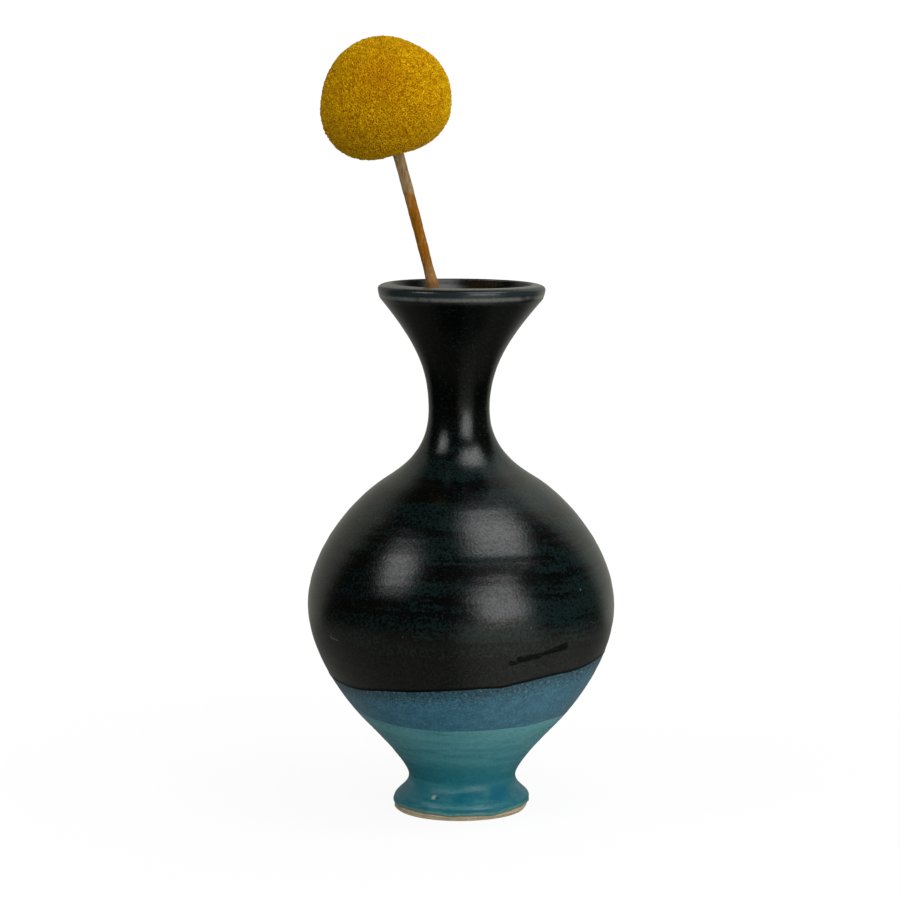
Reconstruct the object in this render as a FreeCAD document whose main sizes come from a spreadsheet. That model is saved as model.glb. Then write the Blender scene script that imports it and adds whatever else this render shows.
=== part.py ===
import FreeCAD, Part
import os
import Sketcher

# A wheel-thrown stoneware bud vase with one dried billy-button flower standing in it. The vase is a
# hollow clay body under four coats of glaze. The flower lifts out of the mouth along its own stem.
# Millimetres and degrees. The origin is the centre of the foot's underside, +Z is up, and the flower
# leans towards -X.

# ---------------------------------------------------------------------- driving dimensions

# The outlines of the wall, from the foot to the lip. Each point has its radius, its height, how much the
# radius grows per millimetre of height there, and how far below and above it the curve keeps to that slope.
OUTLINES = {
    "outside": {
        "foot": (14.2, 0.0, 0.83, 0.0, 0.6),
        "bead": (15.36, 2.6, 0.0, 1.48, 1.2),
        "waist": (12.13, 7.64, 0.0, 2.66, 2.45),
        "flank": (21.51, 20.04, 0.99, 3.5, 4.81),
        "belly": (34.84, 47.15, 0.0, 11.11, 11.8),
        "shoulder": (18.09, 75.31, -1.46, 4.89, 2.31),
        "throat": (6.77, 91.84, 0.0, 10.36, 9.61),
        "lip": (18.24, 116.82, 0.85, 9.12, 0.23),
        "rim": (18.79, 118.95, 0.0, 0.3, 0.64),
    },
    "inside": {
        "flank": (16.4, 20.0, 1.02, 5.5, 4.6),
        "belly": (31.0, 48.0, 0.0, 11.0, 11.2),
        "shoulder": (13.2, 75.2, -1.5, 4.6, 2.2),
        "throat": (3.9, 92.2, 0.0, 8.6, 9.0),
        "mouth": (14.6, 117.6, 0.95, 8.2, 0.9),
    },
}
FIELDS = ("r", "z", "slope", "below", "above")

SIZES = {
    "crest_r": (16.1, "radius of the lip's highest line"),
    "crest_z": (120.0, "height of the lip, and of the vase"),
    "crest_outer": (1.5, "how far outwards the top of the lip stays level"),
    "crest_inner": (0.8, "how far inwards the top of the lip stays level"),
    "floor_z": (8.0, "height of the floor inside"),
    "floor_flat": (9.5, "how far out the floor stays nearly level"),
    "coat": (0.4, "thickness of the outer glazes, measured level"),
    "liner": (0.3, "thickness of the glaze inside, measured level"),
    "ring_r": (10.4, "inner radius of the foot ring"),
    "ring_bevel": (0.8, "bevel where the ring meets its recess"),
    "recess_z": (2.4, "depth of the recess under the foot"),
    "bare_z": (1.5, "height of the bare clay strip at the foot"),
    "blue_low": (22.7, "height where turquoise gives way to blue"),
    "blue_high": (33.0, "height on the axis where blue gives way to black"),
    "blue_tilt": (5.71, "tilt of that upper edge, rising towards +X"),
    "span": (100.0, "side of the blocks that part the coats, wider than the vase"),
    "stem_r": (1.12, "radius of the stem below its joint and just above it"),
    "stem_top_r": (1.25, "radius of the stem under the flower head"),
    "joint_r": (1.4, "radius of the stem's swollen joint"),
    "joint_half": (2.2, "half the length of the swollen joint"),
    "bend_x": (-6.43, "place of the joint, where the stem bends"),
    "bend_z": (120.0, "height of the joint"),
    "hidden_lean": (9.32, "lean of the stem below its joint, inside the vase"),
    "shown_lean": (14.77, "lean of the stem above its joint"),
    "hidden_len": (105.3, "length of the stem below its joint"),
    "shown_len": (41.0, "length of the stem above its joint"),
    "head_up": (43.1, "distance along the stem from its joint to the head's middle"),
    "core_r": (4.2, "radius of the woody receptacle in the head"),
    "top_z": (14.3, "height of the head above its middle"),
    "top_level": (8.3, "how far out the top of the head stays level"),
    "wide_r": (15.2, "radius of the head at its widest"),
    "wide_z": (-2.6, "height of the widest line, from the head's middle"),
    "wide_above": (8.2, "how far above that line the sides stay upright"),
    "wide_below": (5.3, "how far below it they stay upright"),
    "low_r": (4.6, "radius of the head's lowest ring"),
    "low_z": (-12.8, "height of that ring, from the head's middle"),
    "low_outer": (4.2, "how far outwards of it the underside stays level"),
    "low_inner": (1.5, "how far inwards of it the underside stays level"),
    "dimple_z": (-11.6, "bottom of the dimple round the stem, from the head's middle"),
    "dimple_level": (2.4, "how far out the bottom of the dimple stays level"),
}


class Size:
    """A length as a number, and as the expression that gives it from the sheet."""

    def __init__(self, number, text):
        self.number = number
        self.text = text

    def __add__(self, other):
        return Size(self.number + other.number, f"({self.text} + {other.text})")

    def __sub__(self, other):
        return Size(self.number - other.number, f"({self.text} - {other.text})")

    def __mul__(self, other):
        return Size(self.number * other.number, f"({self.text} * {other.text})")


NOTHING = Size(0.0, "0")


def fill_sheet(doc):
    """Write every driving dimension into the sheet, and return them by name."""
    rows = []
    for side, points in OUTLINES.items():
        for point, values in points.items():
            for field, value in zip(FIELDS, values):
                rows.append((f"{side}_{point}_{field}", value, f"{side} wall at the {point}"))
    for name, (value, note) in SIZES.items():
        rows.append((name, value, note))
    sheet = doc.addObject("Spreadsheet::Sheet", "sizes")
    for line, (name, value, note) in enumerate(rows, start=1):
        sheet.set(f"A{line}", name)
        sheet.set(f"B{line}", str(value))
        sheet.set(f"C{line}", note)
        sheet.setAlias(f"B{line}", name)
    doc.recompute()
    return {name: Size(value, f"sizes.{name}") for name, value, note in rows}


doc = FreeCAD.newDocument("bud_vase")
size = fill_sheet(doc)


# ---------------------------------------------------------------------- sketch helpers

ORIGIN = (-1, 1)
UPRIGHT_AXIS = -2
POLE_CENTRE = 3
CURVE_START = 1
CURVE_END = 2


def start_body(name):
    """A body with one sketch on its upright plane, where across is a radius and up is a height."""
    body = doc.addObject("PartDesign::Body", name)
    body.Label = name
    sketch = body.newObject("Sketcher::SketchObject", f"{name}_outline")
    planes = [plane for plane in body.Origin.OriginFeatures if plane.Role == "XZ_Plane"]
    sketch.AttachmentSupport = [(planes[0], "")]
    sketch.MapMode = "FlatFace"
    return body, sketch


def spin(body, sketch):
    """Turn the sketch a full circle about the upright axis."""
    turned = body.newObject("PartDesign::Revolution", f"{body.Name}_turned")
    turned.Profile = sketch
    turned.ReferenceAxis = (sketch, ["V_Axis"])
    turned.Angle = 360
    sketch.Visibility = False
    return body


def hold(sketch, item, place, across, up):
    """Fix a point of the sketch at sizes from the sheet. No across means that it is on the axis."""
    if across is None:
        sketch.addConstraint(Sketcher.Constraint("PointOnObject", item, place, UPRIGHT_AXIS))
    else:
        level = Sketcher.Constraint("DistanceX", *ORIGIN, item, place, across.number)
        sketch.setExpression(f"Constraints[{sketch.addConstraint(level)}]", across.text)
    upright = Sketcher.Constraint("DistanceY", *ORIGIN, item, place, up.number)
    sketch.setExpression(f"Constraints[{sketch.addConstraint(upright)}]", up.text)


def spot(pole):
    """A pole's place as a point."""
    across, up = pole
    return FreeCAD.Vector(0.0 if across is None else across.number, up.number, 0)


def add_curve(sketch, poles, after=None):
    """One cubic curve through four poles. It starts where the item given as after ends."""
    curve = Part.BSplineCurve()
    curve.buildFromPolesMultsKnots([spot(pole) for pole in poles], [4, 4], [0.0, 1.0], False, 3)
    item = sketch.addGeometry(curve, False)
    sketch.exposeInternalGeometry(item)
    for number, pole in enumerate(poles):
        if number > 0 or after is None:
            hold(sketch, item + 1 + number, POLE_CENTRE, *pole)
    if after is not None:
        sketch.addConstraint(Sketcher.Constraint("Coincident", after, CURVE_END, item, CURVE_START))
    return item


def add_chain(sketch, runs, after=None):
    """A row of curves, each starting where the last one ends. Returns their items in order."""
    items = []
    for poles in runs:
        items.append(add_curve(sketch, poles, items[-1] if items else after))
    return items


def add_line(sketch, start, end, after):
    """A straight edge from the end of one item to a new point."""
    item = sketch.addGeometry(Part.LineSegment(spot(start), spot(end)), False)
    sketch.addConstraint(Sketcher.Constraint("Coincident", after, CURVE_END, item, CURVE_START))
    hold(sketch, item, CURVE_END, *end)
    return item


def close_line(sketch, start, end, after, first):
    """A straight edge from the end of one item to the start of the first."""
    item = sketch.addGeometry(Part.LineSegment(spot(start), spot(end)), False)
    sketch.addConstraint(Sketcher.Constraint("Coincident", after, CURVE_END, item, CURVE_START))
    sketch.addConstraint(Sketcher.Constraint("Coincident", item, CURVE_END, first, CURVE_START))
    return item


# ---------------------------------------------------------------------- the wall's outlines


def wall_pole(side, point, pull, inwards):
    """The pole at a point of a wall, or the one that pulls the curve below or above it."""
    across = size[f"{side}_{point}_r"] - inwards
    up = size[f"{side}_{point}_z"]
    slope = size[f"{side}_{point}_slope"]
    if pull == "above":
        reach = size[f"{side}_{point}_above"]
        return across + slope * reach, up + reach
    if pull == "below":
        reach = size[f"{side}_{point}_below"]
        return across - slope * reach, up - reach
    return across, up


def wall_runs(side, inwards):
    """The curves up one side of the wall, moved inwards by a coat's thickness."""
    points = list(OUTLINES[side])
    runs = []
    for low, high in zip(points, points[1:]):
        run = [wall_pole(side, low, "at", inwards), wall_pole(side, low, "above", inwards)]
        run += [wall_pole(side, high, "below", inwards), wall_pole(side, high, "at", inwards)]
        runs.append(run)
    return runs


def outside_runs(inwards):
    """The outside of the vase from the foot to the crest of the lip, moved in under a coat."""
    crest = (size["crest_r"], size["crest_z"] - inwards)
    level = (size["crest_r"] + size["crest_outer"], size["crest_z"] - inwards)
    over = [wall_pole("outside", "rim", "at", inwards), wall_pole("outside", "rim", "above", inwards)]
    return wall_runs("outside", inwards) + [over + [level, crest]]


def inside_runs(outwards, drop):
    """The inside from the middle of the floor to the crest, moved out behind a coat."""
    inwards = NOTHING - outwards
    floor = size["floor_z"] - outwards
    start = [(None, floor), (size["floor_flat"], floor)]
    start += [wall_pole("inside", "flank", "below", inwards), wall_pole("inside", "flank", "at", inwards)]
    crest = (size["crest_r"], size["crest_z"] - drop)
    level = (size["crest_r"] - size["crest_inner"], size["crest_z"] - drop)
    end = [wall_pole("inside", "mouth", "at", inwards), wall_pole("inside", "mouth", "above", inwards)]
    return [start] + wall_runs("inside", inwards) + [end + [level, crest]]


def backwards(runs):
    """The same curves, followed the other way."""
    return [run[::-1] for run in runs[::-1]]


# ---------------------------------------------------------------------- the vase


def make_clay():
    """The thrown wall with its floor, and the ring and recess trimmed under the foot."""
    body, sketch = start_body("clay_body")
    outside = outside_runs(size["coat"])
    inside = backwards(inside_runs(size["liner"], size["coat"]))
    recess = (None, size["recess_z"])
    recess_edge = (size["ring_r"] - size["ring_bevel"], size["recess_z"])
    ring_edge = (size["ring_r"], size["recess_z"] - size["ring_bevel"])
    ring_low = (size["ring_r"], NOTHING)
    up = add_chain(sketch, outside)
    down = add_chain(sketch, inside, up[-1])
    middle = add_line(sketch, inside[-1][-1], recess, down[-1])
    ceiling = add_line(sketch, recess, recess_edge, middle)
    bevel = add_line(sketch, recess_edge, ring_edge, ceiling)
    ring = add_line(sketch, ring_edge, ring_low, bevel)
    close_line(sketch, ring_low, outside[0][0], ring, up[0])
    return spin(body, sketch)


def make_skin(name, shown, hidden):
    """A coat of glaze between its shown face and the clay, both given from the same end."""
    body, sketch = start_body(name)
    hidden = backwards(hidden)
    out = add_chain(sketch, shown)
    step = add_line(sketch, shown[-1][-1], hidden[0][0], out[-1])
    back = add_chain(sketch, hidden, step)
    close_line(sketch, hidden[-1][-1], shown[0][0], back[-1], out[0])
    return spin(body, sketch)


def make_liner():
    """The glaze poured inside: it covers the floor, the wall and the inner half of the lip."""
    shown = inside_runs(NOTHING, NOTHING)
    return make_skin("liner_glaze", shown, inside_runs(size["liner"], size["coat"]))


def make_block(name, low, height, tilt=NOTHING):
    """A wide block over the axis, with its underside at a height and tilted up towards +X."""
    block = doc.addObject("Part::Box", name)
    block.setExpression("Length", size["span"].text)
    block.setExpression("Width", size["span"].text)
    block.setExpression("Height", height.text)
    half = size["span"].number / 2
    turn = FreeCAD.Rotation(FreeCAD.Vector(0, 1, 0), -tilt.number)
    corner = FreeCAD.Vector(0, 0, low.number) + turn.multVec(FreeCAD.Vector(-half, -half, 0))
    block.Placement = FreeCAD.Placement(corner, turn)
    return block


def combine(kind, name, base, tool):
    """A boolean of two objects, under the name of the sub-part that it makes."""
    result = doc.addObject(kind, name)
    result.Label = name
    result.Base = base
    result.Tool = tool
    return result


def make_coats():
    """The turquoise, blue and black glazes, each from the skin between its two edges."""
    coat = make_skin("whole_coat", outside_runs(NOTHING), outside_runs(size["coat"]))
    above_black_edge = make_block("above_black_edge", size["blue_high"], size["span"], size["blue_tilt"])
    above_blue_edge = make_block("above_blue_edge", size["blue_low"], size["span"])
    turquoise_reach = make_block("turquoise_reach", size["bare_z"], size["blue_low"] - size["bare_z"])
    black = combine("Part::Common", "black_glaze", coat, above_black_edge)
    blue_and_black = combine("Part::Common", "blue_and_black", coat, above_blue_edge)
    blue = combine("Part::Cut", "blue_glaze", blue_and_black, above_black_edge)
    turquoise = combine("Part::Common", "turquoise_glaze", coat, turquoise_reach)
    return [black, blue, turquoise]


# ---------------------------------------------------------------------- the flower


def leaning(lean, start, along):
    """A placement with its own Z along a stretch of the stem, that far along it from a point."""
    turn = FreeCAD.Rotation(FreeCAD.Vector(0, 1, 0), -lean)
    return FreeCAD.Placement(start + turn.multVec(FreeCAD.Vector(0, 0, along)), turn)


bend = FreeCAD.Vector(size["bend_x"].number, 0, size["bend_z"].number)
shown_lean = size["shown_lean"].number
head_place = leaning(shown_lean, bend, size["head_up"].number)


def make_stem():
    """The dried stem: a hidden straight, a swollen joint where it bends, and a shown straight."""
    hidden = doc.addObject("Part::Cylinder", "stem_hidden")
    hidden.setExpression("Radius", size["stem_r"].text)
    hidden.setExpression("Height", size["hidden_len"].text)
    hidden.Placement = leaning(size["hidden_lean"].number, bend, -size["hidden_len"].number)
    joint = doc.addObject("Part::Ellipsoid", "stem_joint")
    joint.setExpression("Radius1", size["joint_half"].text)
    joint.setExpression("Radius2", size["joint_r"].text)
    joint.setExpression("Radius3", size["joint_r"].text)
    joint.Placement = leaning(shown_lean, bend, 0)
    shown = doc.addObject("Part::Cone", "stem_shown")
    shown.setExpression("Radius1", size["stem_r"].text)
    shown.setExpression("Radius2", size["stem_top_r"].text)
    shown.setExpression("Height", size["shown_len"].text)
    shown.Placement = leaning(shown_lean, bend, 0)
    stem = doc.addObject("Part::MultiFuse", "stem")
    stem.Label = "stem"
    stem.Shapes = [hidden, joint, shown]
    return stem


def make_receptacle(stem):
    """The woody core that the florets grow on, with the end of the stem in it."""
    core = doc.addObject("Part::Sphere", "core")
    core.setExpression("Radius", size["core_r"].text)
    core.Placement = head_place
    return core, combine("Part::Cut", "receptacle", core, stem)


def make_head_outline():
    """The round head as one solid, turned about the stem: widest low, and dimpled underneath."""
    body, sketch = start_body("whole_head")
    top = (None, size["top_z"])
    wide = (size["wide_r"], size["wide_z"])
    low = (size["low_r"], size["low_z"])
    dimple = (None, size["dimple_z"])
    crown = [top, (size["top_level"], size["top_z"])]
    crown += [(size["wide_r"], size["wide_z"] + size["wide_above"]), wide]
    cheek = [wide, (size["wide_r"], size["wide_z"] - size["wide_below"])]
    cheek += [(size["low_r"] + size["low_outer"], size["low_z"]), low]
    under = [low, (size["low_r"] - size["low_inner"], size["low_z"])]
    under += [(size["dimple_level"], size["dimple_z"]), dimple]
    outline = add_chain(sketch, [crown, cheek, under])
    close_line(sketch, dimple, top, outline[-1], outline[0])
    spin(body, sketch)
    body.Placement = head_place
    return body


def make_florets(stem, core):
    """The crust of florets: the whole head less its core and the stem that goes up into it."""
    crust = combine("Part::Cut", "crust", make_head_outline(), core)
    return combine("Part::Cut", "floret_globe", crust, stem)


# ---------------------------------------------------------------------- check and write


def check(parts):
    """Stop before anything is written if an object failed or a sub-part isn't one sound solid."""
    for item in doc.Objects:
        if "Invalid" in item.State or "Error" in item.State:
            raise RuntimeError(f"{item.Label} failed: {item.State}")
    for part in parts:
        shape = part.Shape
        if shape.isNull() or not shape.isValid() or len(shape.Solids) != 1:
            raise RuntimeError(f"{part.Label} isn't one sound solid")
        print(f"{part.Label}: {shape.Volume / 1000:.2f} cm3")


clay = make_clay()
liner = make_liner()
coats = make_coats()
stem = make_stem()
core, receptacle = make_receptacle(stem)
florets = make_florets(stem, core)
parts = [clay, liner] + coats + [stem, receptacle, florets]

doc.recompute()
check(parts)
os.makedirs("parts", exist_ok=True)
for part in parts:
    part.Shape.exportStep(f"parts/{part.Label}.step")
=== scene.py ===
import math

import bpy
import numpy as np
from mathutils import Matrix, Vector


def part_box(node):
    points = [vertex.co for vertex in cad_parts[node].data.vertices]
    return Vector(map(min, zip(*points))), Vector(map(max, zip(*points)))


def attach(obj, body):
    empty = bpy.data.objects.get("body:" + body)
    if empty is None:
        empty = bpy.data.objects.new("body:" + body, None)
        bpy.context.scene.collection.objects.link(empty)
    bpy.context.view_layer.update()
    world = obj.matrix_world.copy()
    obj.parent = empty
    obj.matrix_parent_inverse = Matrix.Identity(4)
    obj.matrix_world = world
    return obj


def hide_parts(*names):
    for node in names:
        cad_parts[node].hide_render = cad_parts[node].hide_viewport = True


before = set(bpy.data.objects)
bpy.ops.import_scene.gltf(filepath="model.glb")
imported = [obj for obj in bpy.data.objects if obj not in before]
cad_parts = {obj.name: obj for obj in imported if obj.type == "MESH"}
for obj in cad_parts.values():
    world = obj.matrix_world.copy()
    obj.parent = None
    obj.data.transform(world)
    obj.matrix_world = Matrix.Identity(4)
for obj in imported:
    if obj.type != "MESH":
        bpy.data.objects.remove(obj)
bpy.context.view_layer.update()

# A wheel-thrown bud vase in satin black over blue over turquoise glaze, with one dried billy-button.
# Shapes are worked out in millimetres in the CAD frame, and written to the meshes in metres. Angles round
# the vase are measured from the side that faces -Y, and grow towards +X.

# ---- the wall's outline

# Radius, height, growth of the radius per millimetre of height, and how far below and above the point the
# curve keeps to that slope.
OUTSIDE = (
    (14.95, 0.0, 0.3, 0.0, 0.7),
    (15.36, 2.6, 0.0, 1.1, 1.2),
    (12.13, 7.64, 0.0, 2.66, 2.45),
    (21.51, 20.04, 0.99, 3.5, 4.81),
    (34.84, 47.15, 0.0, 11.11, 11.8),
    (18.09, 75.31, -1.46, 4.89, 2.31),
    (6.77, 91.84, 0.0, 10.36, 9.61),
    (18.24, 116.82, 0.85, 9.12, 0.23),
    (18.79, 118.95, 0.0, 0.3, 0.64),
)
INSIDE = (
    (16.4, 20.0, 1.02, 5.5, 4.6),
    (31.0, 48.0, 0.0, 11.0, 11.2),
    (13.2, 75.2, -1.5, 4.6, 2.2),
    (3.9, 92.2, 0.0, 8.6, 9.0),
    (14.6, 117.6, 0.95, 8.2, 1.2),
)
CREST_R = 16.1
CREST_OUTER = 1.5
CREST_INNER = 0.15
FLOOR_Z = 8.0
FLOOR_FLAT = 9.5
RING_R = 10.4
RING_BEVEL = 0.8
RECESS_Z = 2.4

VASE_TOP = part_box("liner_glaze")[1][2]
CREST_Z = 120.0
MM = VASE_TOP / CREST_Z

SAMPLES_PER_RUN = 160


def bezier(poles):
    """Points along a cubic curve through four poles."""
    t = np.linspace(0.0, 1.0, SAMPLES_PER_RUN)[:, None]
    p = np.array(poles, float)
    return p[0] * (1 - t) ** 3 + p[1] * 3 * t * (1 - t) ** 2 + p[2] * 3 * t**2 * (1 - t) + p[3] * t**3


def wall_runs(points):
    """The poles of each curve up one side of the wall."""
    runs = []
    for low, high in zip(points, points[1:]):
        r0, z0, slope0, _, above = low
        r1, z1, slope1, below, _ = high
        runs.append(
            [(r0, z0), (r0 + slope0 * above, z0 + above), (r1 - slope1 * below, z1 - below), (r1, z1)]
        )
    return runs


def whole_path():
    """The shown face in one line: up the outside, over the lip and down the inside to the floor."""
    rim_r, rim_z, _, _, rim_above = OUTSIDE[-1]
    over = [(rim_r, rim_z), (rim_r, rim_z + rim_above)]
    over += [(CREST_R + CREST_OUTER, CREST_Z), (CREST_R, CREST_Z)]
    mouth_r, mouth_z, mouth_slope, _, mouth_above = INSIDE[-1]
    into = [(CREST_R, CREST_Z), (CREST_R - CREST_INNER, CREST_Z)]
    into += [(mouth_r + mouth_slope * mouth_above, mouth_z + mouth_above), (mouth_r, mouth_z)]
    flank_r, flank_z, flank_slope, flank_below, _ = INSIDE[0]
    floor = [(flank_r, flank_z), (flank_r - flank_slope * flank_below, flank_z - flank_below)]
    floor += [(FLOOR_FLAT, FLOOR_Z), (0.0, FLOOR_Z)]
    outside = wall_runs(OUTSIDE) + [over]
    inside = [into] + [run[::-1] for run in wall_runs(INSIDE)[::-1]] + [floor]
    return outside, inside


class Path:
    """A line of radius and height, with the distance along it and the way it faces."""

    def __init__(self, runs):
        points = np.concatenate([bezier(run)[:-1] for run in runs] + [np.array([runs[-1][-1]], float)])
        self.r, self.z = points[:, 0], points[:, 1]
        steps = np.hypot(np.diff(self.r), np.diff(self.z))
        self.s = np.concatenate([[0.0], np.cumsum(steps)])
        dr, dz = np.gradient(self.r, self.s), np.gradient(self.z, self.s)
        length = np.hypot(dr, dz)
        self.nr, self.nz = dz / length, -dr / length

    def at(self, s):
        """Radius, height and the outward direction at distances along the line."""
        return [np.interp(s, self.s, line) for line in (self.r, self.z, self.nr, self.nz)]


OUTSIDE_RUNS, INSIDE_RUNS = whole_path()
PATH = Path(OUTSIDE_RUNS + INSIDE_RUNS)
S_CREST = float(Path(OUTSIDE_RUNS).s[-1])
S_END = float(PATH.s[-1])


def s_at(height):
    """Distance along the path where the outside reaches a height."""
    climb = PATH.s <= S_CREST
    return np.interp(height, PATH.z[climb], PATH.s[climb])


# ---- the hand of the potter


def smooth(x):
    """An even rise from 0 to 1 as x goes from 0 to 1."""
    x = np.clip(x, 0.0, 1.0)
    return x * x * (3 - 2 * x)


def bump_at(x, centre, width):
    """A soft hill of height 1."""
    return np.exp(-(((x - centre) / width) ** 2))


def waves(angle, seed, orders, sizes):
    """A closed line that wavers round the vase."""
    rng = np.random.default_rng(seed)
    total = np.zeros_like(np.asarray(angle, float))
    for order, size in zip(orders, sizes):
        total = total + size * np.sin(order * angle + rng.uniform(0, math.tau))
    return total


# Where the wall's own centre wanders as it was thrown: height and shift along X.
DRIFT_Z = (0.0, 1.2, 3.4, 20.0, 34.0, 50.0, 74.0, 88.0, 94.0, 106.0, 120.0)
DRIFT_X = (-0.18, 0.0, 0.28, 0.36, 0.17, -0.02, -0.02, -0.43, -0.46, -0.20, 0.14)


def drift(z):
    """How far the centre of the wall is from the axis at a height."""
    return np.interp(z, DRIFT_Z, DRIFT_X)


FULLNESS = 0.14


def ring_size(z):
    """How tall the throwing rings are at a height. They are tallest where each hill has its middle."""
    belly = 0.013 * bump_at(z, 62.0, 17.0)
    low = 0.010 * bump_at(z, 36.0, 9.0)
    neck = 0.004 * bump_at(z, 97.0, 14.0)
    foot = 0.014 * bump_at(z, 15.0, 6.0)
    return belly + low + neck + foot + 0.002


def thrown(angle, z):
    """Rings, and the low lumps that a hand leaves, as a height over the plain outline."""
    level = z + waves(angle, 11, (1, 2, 3), (0.30, 0.18, 0.10))
    rings = np.zeros_like(level)
    rng = np.random.default_rng(5)
    for wavelength, size in ((7.3, 0.8), (4.6, 1.0), (3.1, 0.75), (1.9, 0.35), (1.1, 0.12)):
        phase = rng.uniform(0, math.tau)
        turn = rng.uniform(0, math.tau)
        fade = 0.75 + 0.25 * np.sin(angle + turn + level / 9.0)
        rings += size * fade * np.sin(math.tau * level / wavelength + phase)
    lumps = 0.05 * np.sin(2 * angle + 1.1 + z / 38.0) + 0.02 * np.sin(3 * angle + 0.4 - z / 23.0)
    lumps = lumps + 0.006 * np.sin(5 * angle + z / 6.0) * np.sin(z / 4.2 + 2 * np.sin(angle))
    calm = smooth(z / 6.0) * (1 - 0.75 * smooth((z - 108.0) / 8.0))
    return FULLNESS + ring_size(z) * rings + lumps * calm


# ---- glaze edges


def from_front(angle):
    """An angle as a turn to the right or left of the front, between half a turn either way."""
    return np.mod(angle + math.pi, math.tau) - math.pi


def hills(turn, rows):
    """Soft hills round the vase: height, place and width of each."""
    return sum(height * bump_at(turn, place, width) for height, place, width in rows)


BLACK_EDGE_Z = 33.55
BLACK_EDGE_TILT = 2.15
BLUE_EDGE_Z = 23.0
BLUE_EDGE_TILT = -0.3
BARE_EDGE_Z = 1.35
BLACK_HILLS = ((-0.8, -0.80, 0.42), (-0.4, 0.27, 0.10), (0.5, 0.58, 0.2), (0.9, 1.25, 0.3))
BLUE_HILLS = ((-0.7, -0.45, 0.35), (-0.3, 0.0, 0.3), (0.5, 0.95, 0.3), (0.5, -1.1, 0.25))


def black_edge(angle):
    """Height of the black glaze's lower edge, which rises to the right."""
    turn = from_front(angle)
    line = BLACK_EDGE_Z + BLACK_EDGE_TILT * np.sin(turn - 0.09) + hills(turn, BLACK_HILLS)
    return line + waves(angle, 21, (2, 3, 5, 9, 14), (0.06, 0.06, 0.08, 0.08, 0.06))


def blue_edge(angle):
    """Height of the blue glaze's lower edge."""
    turn = from_front(angle)
    line = BLUE_EDGE_Z + BLUE_EDGE_TILT * np.sin(turn) + hills(turn, BLUE_HILLS)
    return line + waves(angle, 33, (2, 5, 8, 15), (0.06, 0.07, 0.06, 0.05))


def bare_edge(angle):
    """Height where the wiped foot ends and the turquoise glaze starts."""
    return BARE_EDGE_Z + waves(angle, 47, (1, 3, 4, 7, 11, 19), (0.12, 0.16, 0.12, 0.10, 0.08, 0.05))


# ---- meshes


def write_mesh(name, points, faces, facets=math.radians(50)):
    """An object from points in millimetres, smooth but for its sharp edges."""
    mesh = bpy.data.meshes.new(name)
    mesh.from_pydata((np.asarray(points) * MM).tolist(), [], faces)
    mesh.polygons.foreach_set("use_smooth", [True] * len(mesh.polygons))
    mesh.set_sharp_from_angle(angle=facets)
    mesh.update()
    made = bpy.data.objects.new(name, mesh)
    bpy.context.scene.collection.objects.link(made)
    return made


def note(made, name, values):
    """A number for every point of a mesh, for its material to read."""
    layer = made.data.attributes.new(name, "FLOAT", "POINT")
    layer.data.foreach_set("value", np.asarray(values, np.float32))


def grid_faces(rows, columns, first=0, close=False):
    """Quads over rings of points. The rings run round the vase, and may close on the first one."""
    faces = []
    for row in range(rows if close else rows - 1):
        here = first + row * columns
        there = first + ((row + 1) % rows) * columns
        for column in range(columns):
            beside = (column + 1) % columns
            faces.append((here + column, here + beside, there + beside, there + column))
    return faces


def angles_of(columns):
    """Evenly spaced angles round the vase."""
    return np.arange(columns) * (math.tau / columns)


def turned(angle, r, z, offset, nr, nz):
    """Points of the wall, moved out along the way that it faces, about its wandering centre. The lip is
    a little higher at the back and on the left."""
    out = r + offset * nr
    tilt = 0.15 * (1 - np.cos(angle)) - 0.17 * np.sin(angle)
    up = z + offset * nz + tilt * smooth((z - 96.0) / 24.0)
    return np.stack([out * np.sin(angle) + drift(z), -out * np.cos(angle), up], axis=-1)


SINK = 0.12  # how far a coat's edges dip under the plain face
COAT = 0.38  # thickness of a coat
CLAY_DEPTH = 0.4  # depth of the clay under the glaze
CLAY_BARE = 0.1  # depth of the clay under the plain face where it is bare
TUCK = 0.6  # how far a coat runs on under the one above it
BACK_ROWS = 24  # rings in a coat's hidden face
FLOOR_END = 1.0  # how far from the middle of the floor the rings stop


def on_wall(angle, rows, lift):
    """Points round the vase at distances along its path, a height over its thrown face."""
    r, z, nr, nz = PATH.at(rows)
    return turned(angle, r, z, thrown(angle, z) + lift, nr, nz)


def coat_rows(low, high, middle_rows):
    """Distances along the path for every ring of a coat's shown face, closest at its two edges."""
    start = np.array([0.0, 0.1, 0.2, 0.3, 0.42, 0.56, 0.72, 0.9, 1.1, 1.35, 1.65, 2.0])
    end = np.array([0.9, 0.65, 0.45, 0.3, 0.15, 0.0])
    t = (np.arange(middle_rows) + 1.0) / (middle_rows + 1.0)
    first, last = low + start[-1], high - end[0]
    rows = [low + step for step in start]
    rows += [first + (last - first) * part for part in t]
    rows += [high - step for step in end]
    return np.array(rows)


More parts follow.
